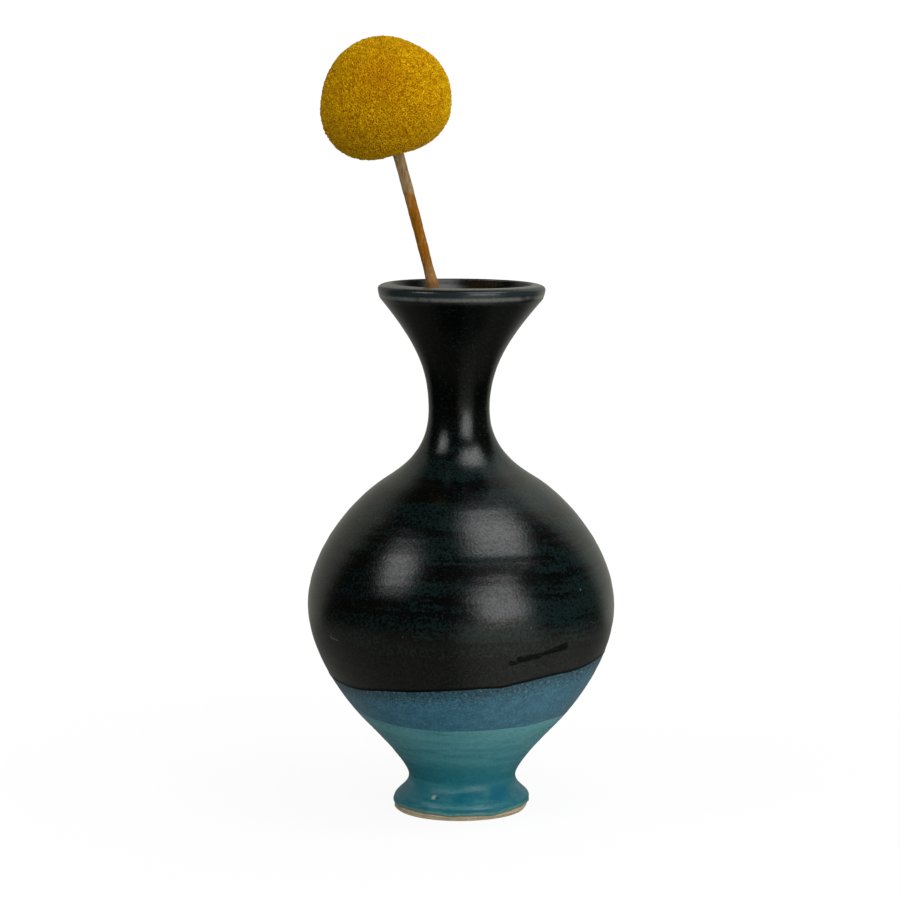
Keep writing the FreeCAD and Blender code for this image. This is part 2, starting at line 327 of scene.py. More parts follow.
def coat_shell(name, low_edge, high_edge, columns, middle_rows, bead, bead_width):
    """A coat of glaze: its shown face with a rolled lower edge, and the hidden face on the clay. It runs
    on past its upper edge, which is the crest of the lip where none is given."""
    angle = angles_of(columns)
    top = s_at(high_edge(angle)) if high_edge else np.full_like(angle, S_CREST)
    low, high = s_at(low_edge(angle)), top + TUCK
    rows = coat_rows(low, high, middle_rows)
    from_low, from_high = rows - low, high - rows
    roll = bead * bump_at(from_low, bead_width * 1.3, bead_width)
    sunk = SINK * (1 - smooth(from_low / (bead_width * 0.9))) + SINK * (1 - smooth(from_high / 0.6))
    shown = on_wall(angle, rows, roll - sunk)
    back_rows = np.array([high + (low - high) * part for part in np.linspace(0.0, 1.0, BACK_ROWS)])
    hidden = on_wall(angle, back_rows, -COAT)
    points = np.concatenate([shown, hidden]).reshape(-1, 3)
    total = len(shown) + len(hidden)
    made = write_mesh(name, points, grid_faces(total, columns, close=True))
    note(made, "from_low", np.concatenate([from_low, back_rows - low]).ravel())
    note(made, "from_high", np.concatenate([from_high, high - back_rows]).ravel())
    return made


def capped(name, grid, columns):
    """A closed skin from rings of points whose two ends are drawn together on the axis."""
    rows = len(grid)
    points = grid.reshape(-1, 3)
    start, end = grid[0].mean(axis=0), grid[-1].mean(axis=0)
    faces = grid_faces(rows, columns)
    last = (rows - 1) * columns
    for column in range(columns):
        beside = (column + 1) % columns
        faces.append((rows * columns, beside, column))
        faces.append((rows * columns + 1, last + column, last + beside))
    return write_mesh(name, np.concatenate([points, [start, end]]), faces)


def make_black_coat():
    """The black glaze, from its tilted edge up over the lip."""
    return coat_shell("black_glaze_coat", black_edge, None, 288, 262, bead=0.06, bead_width=0.4)


def make_blue_coat():
    """The blue glaze, tucked under the black one."""
    return coat_shell("blue_glaze_coat", blue_edge, black_edge, 360, 34, bead=0.03, bead_width=0.4)


def make_turquoise_coat():
    """The turquoise glaze, tucked under the blue one, with a thick rolled edge above the bare foot."""
    return coat_shell("turquoise_glaze_coat", bare_edge, blue_edge, 360, 74, bead=0.16, bead_width=0.34)


def make_liner_coat():
    """The glaze inside, from the crest of the lip to the middle of the floor, where each of its two
    faces is closed with a fan of its own."""
    columns = 240
    angle = angles_of(columns)
    rows = np.linspace(S_CREST, S_END - FLOOR_END, 230)[:, None] + np.zeros(columns)
    shown = on_wall(angle, rows, 0.0)
    back = np.linspace(S_END - FLOOR_END, S_CREST, 60)[:, None] + np.zeros(columns)
    hidden = on_wall(angle, back, -COAT)
    grid = np.concatenate([shown, hidden])
    middle = shown[-1].mean(axis=0), hidden[0].mean(axis=0)
    points = np.concatenate([grid.reshape(-1, 3), middle])
    count = len(shown)
    faces = grid_faces(len(grid), columns, close=True)
    faces = [face for face in faces if face[0] // columns != count - 1]
    for column in range(columns):
        beside = (column + 1) % columns
        faces.append(((count - 1) * columns + column, (count - 1) * columns + beside, len(points) - 2))
        faces.append((count * columns + beside, count * columns + column, len(points) - 1))
    return write_mesh("liner_glaze_coat", points, faces)


RING_EDGE = 0.3  # rounding of the foot ring's inner edge
FOOT_EDGE = 0.28  # rounding of its outer edge


def quarter_turn(steps):
    """Angles from 0 to a right angle."""
    return np.linspace(0.0, math.pi / 2, steps)


def underside():
    """Distances out and heights of the foot's underside, from the middle of the recess to the foot."""
    foot_r = OUTSIDE[0][0]
    flat_r = RING_R - RING_BEVEL
    line = [(radius, RECESS_Z) for radius in np.linspace(0.6, flat_r - 0.5, 22)]
    for a in quarter_turn(7):
        line.append((flat_r + RING_BEVEL * math.sin(a), RECESS_Z - RING_BEVEL * (1 - math.cos(a))))
    line += [(RING_R, z) for z in np.linspace(RECESS_Z - RING_BEVEL - 0.3, 0.35, 4)]
    for a in quarter_turn(5):
        line.append((RING_R + RING_EDGE * (1 - math.cos(a)), RING_EDGE * (1 - math.sin(a))))
    line += [(radius, 0.0) for radius in np.linspace(RING_R + 0.6, foot_r - 0.5, 6)]
    for a in quarter_turn(5):
        line.append((foot_r - FOOT_EDGE + FOOT_EDGE * math.sin(a), FOOT_EDGE * (1 - math.cos(a))))
    return np.array(line)


def make_clay():
    """The stoneware body: its bare foot and trimmed underside show, and the rest is under glaze."""
    columns = 288
    angle = angles_of(columns)
    under = underside()
    tool = 0.035 * np.sin(under[:, 0] * 5.2)[:, None] * np.sin(angle + under[:, 0][:, None] / 3.0)
    lift = tool * (under[:, 1] > RECESS_Z - 0.1)[:, None] + 0.03 * (1 + np.sin(3 * angle + 0.7))
    wide = under[:, 0][:, None] + 0.05 * np.sin(2 * angle + 0.6)
    base = np.stack(
        [wide * np.sin(angle) + DRIFT_X[0], -wide * np.cos(angle), under[:, 1][:, None] + lift], axis=-1
    )
    strip = np.linspace(s_at(0.32), s_at(3.4), 26)
    wall = np.linspace(s_at(3.6), S_END - FLOOR_END, 150)
    rows = np.concatenate([strip, wall])[:, None] + np.zeros(columns)
    z = PATH.at(rows)[1]
    scraped = 0.05 * np.sin(z * 9.0 + 1.5 * np.sin(angle)) + 0.03 * np.sin(7 * angle + z * 3.0)
    scraped = scraped * (z < 3.5) * (rows < S_CREST)
    depth = CLAY_BARE + (CLAY_DEPTH - CLAY_BARE) * smooth((rows - s_at(0.8)) / 1.2)
    body = on_wall(angle, rows, scraped - depth)
    return capped("stoneware_body", np.concatenate([base, body]), columns)


# ---- the flower

STEM_R = 1.12
STEM_TOP_R = 1.25
STEM_END = 4.5  # how far below the head's middle the stem stops
JOINT_SWELL = 0.26
JOINT_LONG = 1.7
SHOWN_LEAN = math.radians(14.77)
HIDDEN_LEAN = math.radians(9.32)
HEAD_UP = 43.1  # distance along the stem from its joint to the head's middle
HIDDEN_LEN = 105.3
SHOWN_LEN = 33.0  # distance over which the stem thickens above its joint

core_low, core_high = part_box("receptacle")
CORE = (np.array(core_low) + np.array(core_high)) / 2 / MM
SHOWN_WAY = np.array([-math.sin(SHOWN_LEAN), 0.0, math.cos(SHOWN_LEAN)])
HIDDEN_WAY = np.array([-math.sin(HIDDEN_LEAN), 0.0, math.cos(HIDDEN_LEAN)])
BEND = CORE - SHOWN_WAY * HEAD_UP
HEAD = CORE + np.array([0.38, 0.0, -0.02])


def stem_centre(along):
    """Points of the stem's middle line. Along is 0 at the joint and grows towards the flower."""
    below = np.minimum(along, 0.0)[:, None] * HIDDEN_WAY
    above = np.maximum(along, 0.0)[:, None] * SHOWN_WAY
    bow = 0.10 * np.sin(np.clip(along / SHOWN_LEN, 0.0, 1.0) * math.pi)
    return BEND + below + above + bow[:, None] * np.array([1.0, 0.0, 0.0])


def make_stem():
    """The dried stem: ribbed, with a swollen joint and a cut lower end."""
    columns = 36
    top = HEAD_UP - STEM_END
    along = np.concatenate([np.linspace(-HIDDEN_LEN, -6.0, 110), np.linspace(-5.7, top, 190)])
    angle = angles_of(columns)
    grow = np.clip(along / SHOWN_LEN, 0.0, 1.0)
    radius = STEM_R + (STEM_TOP_R - STEM_R) * grow + JOINT_SWELL * bump_at(along, 0.0, JOINT_LONG)
    radius = radius + 0.022 * np.sin(along * 0.9) + 0.014 * np.sin(along * 2.3 + 1.0)
    a, s = angle[None, :], along[:, None]
    ribs = 0.030 * np.sin(9 * a + 0.25 * np.sin(s / 6.0)) + 0.020 * np.sin(5 * a + s / 14.0)
    ribs = ribs + 0.012 * np.sin(14 * a + s / 5.0)
    wide = radius[:, None] * (1 + ribs)
    side = np.array([0.0, 1.0, 0.0])
    across = np.array([math.cos(SHOWN_LEAN), 0.0, math.sin(SHOWN_LEAN)])
    centre = stem_centre(along)
    ring = np.cos(a)[..., None] * across + np.sin(a)[..., None] * side
    grid = centre[:, None, :] + wide[..., None] * ring
    made = capped("flower_stem", grid, columns)
    ends = [along[0], along[-1]]
    note(made, "along", np.concatenate([np.repeat(along, columns), ends]))
    return made


# The head's radius at angles down from the stem's own line, and how much more it bulges on the side
# away from the vase than on the other.
HEAD_DOWN = (0, 20, 45, 70, 90, 105, 120, 135, 150, 165, 180)
HEAD_R = (13.85, 13.75, 13.68, 14.18, 14.72, 15.0, 15.18, 14.74, 13.9, 13.0, 11.7)
HEAD_BULGE = (0.0, 0.15, 0.04, -0.17, 0.0, 0.32, 0.45, 0.43, 0.3, 0.12, 0.0)


def head_axes():
    """The head's own directions: away from the vase, towards the back, and up its stem."""
    away = np.array([-math.cos(SHOWN_LEAN), 0.0, -math.sin(SHOWN_LEAN)])
    return away, np.array([0.0, 1.0, 0.0]), SHOWN_WAY


def head_radius(down, turn):
    """Distance from the head's middle to its surface. Down is measured from its top."""
    degrees = np.degrees(down)
    plain = np.interp(degrees, HEAD_DOWN, HEAD_R)
    bulge = np.interp(degrees, HEAD_DOWN, HEAD_BULGE)
    lumps = 0.10 * np.sin(3 * turn + 4 * down) * np.sin(2 * down + 1.0)
    lumps = lumps + 0.07 * np.sin(5 * turn - 6 * down)
    return plain + (bulge * np.cos(turn) + lumps) * np.sin(down)


def head_points(down, turn, lift):
    """Points of the head, a given distance over its surface, and the ways that it faces there."""
    away, back, up = head_axes()
    flat = np.cos(turn)[..., None] * away + np.sin(turn)[..., None] * back
    way = np.sin(down)[..., None] * flat + np.cos(down)[..., None] * up
    return HEAD + way * (head_radius(down, turn) + lift)[..., None], way


FLORETS = 6000
FLORET_SIDES = 7
FLORET_PIT = -0.22
STEM_GAP = math.radians(172.5)  # no florets past this angle, where the stem comes out
BED_SINK = 0.42

# The outline of a floret, from its flank to its pit: radius, height, how pale it is and how much of the
# flank's colour it has. It is palest at the lobes' rims and darker down the flank and into the pit,
# partly as painted shade.
FLORET_LINE = (
    (0.66, -0.55, 0.3, 1.0),
    (0.53, -0.05, 0.6, 0.55),
    (0.41, 0.13, 1.0, 0.1),
    (0.31, 0.14, 0.95, 0.0),
    (0.16, -0.10, 0.25, 0.0),
)


def make_florets(name, rng, down, turn):
    """Tiny open florets, each a ring of lobes round a pit, standing on the head."""
    centre, way = head_points(down, turn, rng.normal(0.0, 0.035, len(down)) - 0.10)
    way = way + rng.normal(0.0, 0.10, way.shape)
    way = way / np.linalg.norm(way, axis=1)[:, None]
    side = np.cross(way, rng.normal(0.0, 1.0, way.shape))
    side = side / np.linalg.norm(side, axis=1)[:, None]
    other = np.cross(way, side)
    scale = rng.uniform(0.82, 1.12, len(down))
    spin = angles_of(FLORET_SIDES)
    points, glow, flank = [], [], []
    for level, (radius, height, shade, side_part) in enumerate(FLORET_LINE):
        uneven, rough = (0.0, 0.0) if level == 0 else (0.30, 0.15)
        for a in spin:
            lobe = 1.0 + uneven * rng.uniform(-1.0, 1.0, len(down))
            tall = height + rough * rng.uniform(-1.0, 1.0, len(down))
            across = (radius * lobe * scale)[:, None] * (math.cos(a) * side + math.sin(a) * other)
            points.append(centre + across + (tall * scale)[:, None] * way)
            glow.append(np.full(len(down), shade))
            flank.append(np.full(len(down), side_part))
    points.append(centre + FLORET_PIT * scale[:, None] * way)
    glow.append(np.full(len(down), 0.1))
    flank.append(np.zeros(len(down)))
    per = len(points)
    faces = []
    for floret in range(len(down)):
        first = floret * per
        faces += grid_faces(len(FLORET_LINE), FLORET_SIDES, first)
        last = first + (len(FLORET_LINE) - 1) * FLORET_SIDES
        for number in range(FLORET_SIDES):
            faces.append((last + number, last + (number + 1) % FLORET_SIDES, first + per - 1))
    made = write_mesh(name, np.stack(points, axis=1).reshape(-1, 3), faces, math.radians(75))
    note(made, "glow", np.stack(glow, axis=1).ravel())
    note(made, "flank", np.stack(flank, axis=1).ravel())
    note(made, "tint", np.repeat(rng.uniform(0.0, 1.0, len(down)), per))
    return made


def make_head():
    """The globe of florets in two halves, and the bed that they stand on."""
    rng = np.random.default_rng(7)
    number = np.arange(FLORETS)
    down = np.arccos(1 - 2 * (number + 0.5) / FLORETS)
    turn = number * math.pi * (3 - math.sqrt(5))
    down = down + rng.normal(0.0, 0.010, FLORETS)
    turn = turn + rng.normal(0.0, 0.010, FLORETS) / np.maximum(np.sin(down), 0.05)
    kept = down < STEM_GAP
    down, turn = down[kept], turn[kept]
    upper = down < math.pi / 2
    crown = make_florets("florets_crown", rng, down[upper], turn[upper])
    under = make_florets("florets_underside", rng, down[~upper], turn[~upper])
    rows, columns = 72, 96
    levels = np.linspace(math.radians(2), math.radians(178), rows)[:, None] + np.zeros(columns)
    around = np.zeros((rows, 1)) + angles_of(columns)
    grid, _ = head_points(levels, around, np.full_like(levels, -BED_SINK))
    bed = capped("floret_bed", grid[::-1], columns)
    return crown, under, bed


# ---- materials


class Graph:
    """A node tree being filled. Each call adds a node and returns the socket that comes out of it."""

    def __init__(self, tree):
        self.tree = tree

    def add(self, kind):
        """A new node of a kind."""
        return self.tree.nodes.new(kind)

    def feed(self, socket, value):
        """Link a socket, or set it to a plain value."""
        if isinstance(value, bpy.types.NodeSocket):
            self.tree.links.new(value, socket)
        else:
            socket.default_value = value

    def vector(self, kind, a, b=None):
        """Vector arithmetic."""
        node = self.add("ShaderNodeVectorMath")
        node.operation = kind
        self.feed(node.inputs[0], a)
        if b is not None:
            self.feed(node.inputs[1], b)
        return node.outputs["Value" if kind in ("LENGTH", "DISTANCE", "DOT_PRODUCT") else "Vector"]

    def parts(self, vector):
        """The X, Y and Z of a vector."""
        node = self.add("ShaderNodeSeparateXYZ")
        self.feed(node.inputs[0], vector)
        return node.outputs

    def math(self, kind, a, b=0.0, c=0.0, clamp=False):
        """Arithmetic on up to three numbers."""
        node = self.add("ShaderNodeMath")
        node.operation = kind
        node.use_clamp = clamp
        for socket, value in zip(node.inputs, (a, b, c)):
            self.feed(socket, value)
        return node.outputs[0]

    def span(self, value, low, high, to_low=0.0, to_high=1.0):
        """A value carried smoothly from one range to another, and held at its ends."""
        node = self.add("ShaderNodeMapRange")
        node.interpolation_type = "SMOOTHSTEP"
        for socket, number in zip(node.inputs, (value, low, high, to_low, to_high)):
            self.feed(socket, number)
        return node.outputs[0]

    def times(self, first, *others):
        """Numbers multiplied together."""
        for other in others:
            first = self.math("MULTIPLY", first, other)
        return first

    def scaled(self, value, by, plus):
        """A number times another, plus a third."""
        return self.math("MULTIPLY_ADD", value, by, plus)

    def between(self, part, a, b):
        """A number between two others."""
        return self.scaled(part, self.math("SUBTRACT", b, a), a)

    def choose(self, part, a, b):
        """One shader or another."""
        node = self.add("ShaderNodeMixShader")
        self.feed(node.inputs[0], part)
        self.feed(node.inputs[1], a)
        self.feed(node.inputs[2], b)
        return node.outputs[0]

    def glow(self, kind, strength, colour=(1.0, 1.0, 1.0)):
        """Light of a strength."""
        node = self.add(kind)
        node.inputs["Color"].default_value = (*colour, 1.0)
        self.feed(node.inputs["Strength"], strength)
        return node.outputs[0]


class Look(Graph):
    """A material being made."""

    def __init__(self, name):
        self.material = bpy.data.materials.new(name)
        self.material.use_nodes = True
        super().__init__(self.material.node_tree)
        self.shader = self.tree.nodes["Principled BSDF"]
        self.place = self.vector("SCALE", self.add("ShaderNodeTexCoord").outputs["Object"])
        self.place.node.inputs["Scale"].default_value = 1 / MM

    def noise(self, size, detail=3.0, rough=0.55, stretch=(1.0, 1.0, 1.0), place=None):
        """Noise whose features are about so many millimetres across."""
        node = self.add("ShaderNodeTexNoise")
        spot = self.place if place is None else place
        self.feed(node.inputs["Vector"], self.vector("MULTIPLY", spot, stretch))
        node.inputs["Scale"].default_value = 1.0 / size
        node.inputs["Detail"].default_value = detail
        node.inputs["Roughness"].default_value = rough
        return node.outputs["Fac"]

    def patches(self, size, low, high, to_low=0.0, to_high=1.0, **kind):
        """Noise made into patches: its values from low to high are spread out over a new range."""
        return self.span(self.noise(size, **kind), low, high, to_low, to_high)

    def mix(self, part, a, b):
        """A colour between two others."""
        node = self.add("ShaderNodeMix")
        node.data_type = "RGBA"
        self.feed(node.inputs[0], part)
        for socket, colour in ((node.inputs[6], a), (node.inputs[7], b)):
            self.feed(socket, (*colour, 1.0) if isinstance(colour, tuple) else colour)
        return node.outputs[2]

    def layered(self, colour, *layers):
        """A colour with others over it: each layer is where it shows, and its colour."""
        for part, over in layers:
            colour = self.mix(part, colour, over)
        return colour

    def number(self, name):
        """A number that was noted on the mesh."""
        node = self.add("ShaderNodeAttribute")
        node.attribute_name = name
        return node.outputs["Fac"]

    def near_line(self, start, end, reach):
        """1 on the line between two points, falling to 0 a reach away from it."""
        start, end = Vector(start), Vector(end)
        run = end - start
        away = self.vector("SUBTRACT", self.place, tuple(start))
        part = self.vector("DOT_PRODUCT", away, tuple(run / run.length_squared))
        part = self.math("ADD", part, 0.0, clamp=True)
        foot = self.add("ShaderNodeVectorMath")
        foot.operation = "SCALE"
        self.feed(foot.inputs[0], tuple(run))
        self.feed(foot.inputs["Scale"], part)
        return self.span(self.vector("DISTANCE", away, foot.outputs[0]), 0.0, reach, 1.0, 0.0)

    def band(self, value, middle, inner, outer, full=1.0, rest=0.0):
        """Full where a value is within inner of the middle, down to rest where it is outer away."""
        away = self.math("ABSOLUTE", self.math("SUBTRACT", value, middle))
        return self.span(away, inner, outer, full, rest)

    def near_spot(self, spot, reach):
        """1 at a point, falling to 0 a reach away from it."""
        return self.span(self.vector("DISTANCE", self.place, spot), 0.0, reach, 1.0, 0.0)

    def relief(self, *layers):
        """Bumps, one over another: each layer is a socket and its height in millimetres."""
        normal = None
        for socket, height in layers:
            node = self.add("ShaderNodeBump")
            node.inputs["Strength"].default_value = 1.0
            node.inputs["Distance"].default_value = height * MM
            self.feed(node.inputs["Height"], socket)
            if normal is not None:
                self.feed(node.inputs["Normal"], normal)
            normal = node.outputs[0]
        self.feed(self.shader.inputs["Normal"], normal)

    def finish(self, colour, roughness, **plain):
        """Set the shader's own sockets. Names use _ for a space."""
        self.feed(self.shader.inputs["Base Color"], colour)
        self.feed(self.shader.inputs["Roughness"], roughness)
        for name, value in plain.items():
            self.shader.inputs[name.replace("_", " ")].default_value = value
        return self.material


def level(amount):
    """A stretch that draws noise out sideways into level bands."""
    return amount, amount, 1.0


def throwing_bands(look):
    """Uneven horizontal bands, as the glaze lies thicker in the throwing rings."""
    broad = look.noise(2.6, detail=2.0, stretch=level(0.05))
    fine = look.noise(0.9, detail=2.0, stretch=level(0.06))
    patchy = look.noise(9.0, detail=2.0)
    both = look.scaled(fine, 0.45, look.times(broad, 0.75))
    return look.scaled(patchy, 0.35, look.math("SUBTRACT", both, 0.15))


def teal_flecks(look, x, z, rings, grain):
    """Where the black breaks to teal: along the throwing rings of the belly, and more on its right."""
    cloud = look.noise(4.5, detail=4.0, rough=0.6, stretch=level(0.4))
    thick = look.scaled(cloud, 0.35, look.times(rings, 0.85))
    thick = look.times(
        look.span(thick, 0.52, 0.67),
        look.span(x, -30.0, 6.0, 0.5, 1.0),
        look.span(z, 78.0, 92.0, 1.0, 0.1),
        look.span(z, 38.0, 46.0, 0.35, 1.0),
    )
    return look.span(look.scaled(thick, 0.24, grain), 0.56, 0.76)


def brown_and_table_reflection(look, z, rings):
    """Where the black is lighter and browner low on the belly: a brown tone of the glaze, and in part a
    painted reflection of the table below.
    """
    uneven = look.patches(3.0, 0.3, 0.7, 0.35, 1.0, detail=4.0, stretch=level(0.4))
    return look.times(uneven, look.span(rings, 0.42, 0.60, 1.0, 0.4), look.span(z, 37.0, 46.0, 1.0, 0.0))


def brush_mark(look):
    """A dark, ragged stroke of the brush, on the right above the blue."""
    tail = look.near_line((10.6, -31.9, 39.5), (17.0, -29.4, 40.7), 1.05)
    stroke = look.near_line((12.6, -31.3, 40.3), (22.6, -25.7, 42.1), 1.45)
    ragged = look.patches(0.7, 0.34, 0.56, 0.35, 1.0, detail=3.0, stretch=(0.3, 0.3, 1.2))
    return look.span(look.times(look.math("MAXIMUM", tail, stroke), ragged), 0.12, 0.5)


def drip_mark(look):
    """A dark, dented drip, on the left above the blue."""
    high = look.near_line((-16.7, -29.6, 40.9), (-15.8, -28.8, 38.2), 0.9)
    low = look.near_line((-15.2, -28.2, 37.0), (-14.4, -26.8, 32.6), 0.7)
    ragged = look.patches(0.8, 0.35, 0.6, 0.2, 0.8, detail=2.0)
    return look.times(look.math("MAXIMUM", high, low), ragged)


def worn_lip_and_reflection(look, z, colour):
    """The lip: blue-grey, in part a painted reflection on its outer face, with a broken worn line under
    it and another along its crest.
    """
    grit = look.patches(0.4, 0.34, 0.64, 0.62, 1.0, detail=4.0, rough=0.7)
    broken = look.patches(5.0, 0.40, 0.58, 0.35, 1.1, detail=4.0)
    return look.layered(
        colour,
        # The blue-grey band round the lip's outer face: thin glaze, and a painted reflection.
        (look.band(z, 118.85, 0.3, 0.9), (0.013, 0.021, 0.022)),
        (look.times(look.band(z, 117.65, 0.05, 0.75), broken, grit), (0.104, 0.112, 0.100)),
        (look.times(look.band(z, CREST_Z, 0.05, 0.35, 0.9), grit), (0.105, 0.110, 0.100)),
    )


# Two bent scratches in the black glaze, each of two lines, and pale specks with their sizes.
SCRATCHES = (
    ((26.4, -22.1, 46.3), (28.5, -19.9, 46.5)),
    ((28.5, -19.9, 46.5), (29.4, -18.6, 45.9)),
    ((-28.4, -19.6, 44.1), (-28.9, -18.8, 42.8)),
    ((-28.9, -18.8, 42.8), (-27.4, -20.8, 42.5)),
)
SPECKS = (((26.2, -21.4, 53.9), 0.34), ((15.1, -31.4, 47.2), 0.26), ((-12.7, -32.4, 45.4), 0.24))


def scratched(look, colour):
    """The black glaze's scratches and specks, over a colour."""
    for start, end in SCRATCHES:
        line = look.times(look.near_line(start, end, 0.26), 0.7)
        colour = look.mix(line, colour, (0.13, 0.13, 0.12))
    for spot, reach in SPECKS:
        colour = look.mix(look.near_spot(spot, reach), colour, (0.20, 0.21, 0.19))
    return colour


def black_gloss(look, z, dark):
    """How strongly the black glaze mirrors: grainy, and less on the neck and in the dark marks."""
    grain = look.patches(0.5, 0.36, 0.64, 0.40, 0.64, detail=2.0, rough=0.7)
    neck = look.times(look.span(z, 87.0, 98.0), look.span(z, 115.5, 117.5, 1.0, 0.0))
    return look.times(grain, look.span(neck, 0.0, 1.0, 1.0, 0.38), look.span(dark, 0.0, 1.0, 1.0, 0.25))


def black_look():
    """Satin black glaze, flecked with teal along its throwing rings, worn grey on the lip, and with a
    painted reflection on the lip's outer face.
    """
    look = Look("satin_black_glaze")
    x, _, z = look.parts(look.place)
    rings = look.noise(3.0, detail=4.0, rough=0.6, stretch=level(0.07))
    grain = look.noise(0.62, detail=2.0, rough=0.6)
    stroke, drip = brush_mark(look), drip_mark(look)
    # A thin dark line along the lower edge: thicker glaze there, and painted shade of its rolled edge.
    edge = look.span(look.number("from_low"), 0.55, 1.25, 1.0, 0.0)
    dark = look.math("MAXIMUM", look.math("MAXIMUM", stroke, drip), edge)
    # Brown-grey low on the belly, partly a painted reflection of the table.
    earth_and_reflection = look.mix(look.span(grain, 0.40, 0.64), (0.0006, 0.0008, 0.0005), (0.0046, 0.0050, 0.0038))
    colour = look.layered(
        look.mix(look.span(x, -20.0, 10.0), (0.0006, 0.0006, 0.0002), (0.0002, 0.0005, 0.0005)),
        (teal_flecks(look, x, z, rings, grain), (0.0030, 0.0105, 0.0102)),
        (brown_and_table_reflection(look, z, rings), earth_and_reflection),
        # the dark marks, with the painted shade along the lower edge
        (dark, (0.0001, 0.0012, 0.0011)),
    )
    colour = scratched(look, worn_lip_and_reflection(look, z, colour))
    rough = look.scaled(look.noise(0.8, detail=4.0), 0.08, 0.165)
    rough = look.scaled(dark, 0.2, rough)
    look.feed(look.shader.inputs["Specular IOR Level"], black_gloss(look, z, dark))
    pores = look.noise(1.6, detail=2.0)
    look.relief((grain, 0.032), (pores, 0.010), (rings, 0.012), (stroke, 0.05), (drip, -0.06))
    return look.finish(colour, rough, IOR=1.5)


def liner_look():
    """The same black glaze inside, a little smoother."""
    look = Look("satin_black_liner")
    flecks = look.patches(0.6, 0.5, 0.68, detail=4.0, rough=0.7)
    colour = look.mix(flecks, (0.0017, 0.0022, 0.0021), (0.010, 0.013, 0.012))
    rough = look.scaled(look.noise(1.2), 0.08, 0.18)
    look.relief((look.noise(0.5), 0.02), (throwing_bands(look), 0.012))
    return look.finish(colour, rough, IOR=1.5)


def blue_look():
    """Blue glaze: navy and speckled just under the black edge, steel blue below."""
    look = Look("satin_blue_glaze")
    depth = look.math("ADD", look.number("from_high"), 0.6)
    depth = look.scaled(look.noise(3.4, detail=2.0, stretch=level(0.6)), -2.4, depth)
    cloud = look.patches(2.4, 0.3, 0.7, detail=4.0)
    speck = look.patches(0.48, 0.50, 0.62, detail=2.0, rough=0.6)
    pale = look.patches(0.66, 0.52, 0.68, 0.0, 0.7, detail=2.0, rough=0.6)
    seam = look.math("ADD", look.number("from_low"), look.noise(0.9, detail=2.0))
    colour = look.layered(
        look.mix(cloud, (0.024, 0.105, 0.158), (0.034, 0.138, 0.200)),
        (look.span(depth, -0.2, 4.5, 1.0, 0.0), (0.018, 0.062, 0.086)),
        (look.times(speck, look.span(depth, -0.5, 7.0, 0.8, 0.2)), (0.003, 0.009, 0.013)),
        (pale, (0.070, 0.185, 0.235)),
        (look.span(seam, 0.3, 1.2, 0.6, 0.0), (0.030, 0.140, 0.165)),
    )
    rough = look.scaled(look.noise(1.1, detail=4.0), 0.10, 0.22)
    look.relief(
        (look.noise(0.5, detail=3.0), 0.022),
        (look.noise(1.4, detail=2.0), 0.008),
        (throwing_bands(look), 0.012),
    )
    return look.finish(colour, rough, IOR=1.5)


# A chip in the foot glaze, painted pale in part for its bright highlight.
CHIP_AND_GLINT = (-6.2, -12.0, 4.9)


def turquoise_look():
    """Turquoise glaze: paler and brushed above, deeper in the waist, pooled and chipped on the foot, with
    the chip's highlight painted pale.
    """
    look = Look("satin_turquoise_glaze")
    z = look.parts(look.place)["Z"]
    mottle = look.patches(1.1, 0.3, 0.7, detail=5.0, rough=0.65)
    bands = look.span(throwing_bands(look), 0.38, 0.70)
    brush = look.noise(2.4, detail=4.0, rough=0.65, stretch=level(0.1))
    foot = look.span(z, 5.5, 8.0, 1.0, 0.0)
    pool = look.patches(2.0, 0.38, 0.62, detail=4.0, rough=0.65, stretch=level(0.5))
    grain = look.patches(0.62, 0.50, 0.70, 0.0, 0.34, detail=2.0, rough=0.6)
    edge = look.math("SUBTRACT", look.number("from_low"), 0.35)
    edge = look.scaled(look.noise(0.8, detail=3.0), 0.7, edge)
    colour = look.layered(
        look.mix(mottle, (0.012, 0.158, 0.198), (0.022, 0.196, 0.242)),
        (look.span(z, 12.0, 23.0), look.mix(mottle, (0.052, 0.196, 0.216), (0.084, 0.262, 0.282))),
        (look.times(bands, look.span(z, 8.0, 14.0, 0.1, 0.5)), (0.100, 0.305, 0.320)),
        (look.band(z, 9.0, 0.5, 4.5, 0.55), (0.007, 0.140, 0.170)),
        (foot, look.mix(pool, (0.024, 0.182, 0.212), (0.003, 0.128, 0.182))),
        (look.span(brush, 0.50, 0.64, 0.0, 0.35), (0.010, 0.120, 0.150)),
        (look.span(brush, 0.36, 0.48, 0.40, 0.0), (0.110, 0.305, 0.315)),
        (look.near_spot((8.8, -10.1, 4.9), 3.5), (0.001, 0.135, 0.215)),
        (look.span(edge, 0.35, 1.1, 0.85, 0.0), (0.13, 0.30, 0.27)),
        (look.span(edge, 0.0, 0.35, 0.7, 0.0), (0.34, 0.40, 0.30)),
        # The chip, pale partly as a painted highlight.
        (look.near_spot(CHIP_AND_GLINT, 0.95), (0.34, 0.46, 0.38)),
        (look.near_spot((-5.4, -12.4, 4.7), 0.55), (0.005, 0.03, 0.04)),
        (grain, (0.004, 0.085, 0.115)),
    )
    rough = look.scaled(look.noise(1.2, detail=4.0), 0.12, 0.22)
    rough = look.scaled(foot, 0.08, rough)
    look.relief(
        (look.noise(0.5, detail=3.0), 0.010),
        (look.noise(1.5, detail=2.0), 0.018),
        (throwing_bands(look), 0.04),
        (look.near_spot(CHIP_AND_GLINT, 0.9), 0.12),
    )
    return look.finish(colour, rough, IOR=1.5, Specular_IOR_Level=0.34)


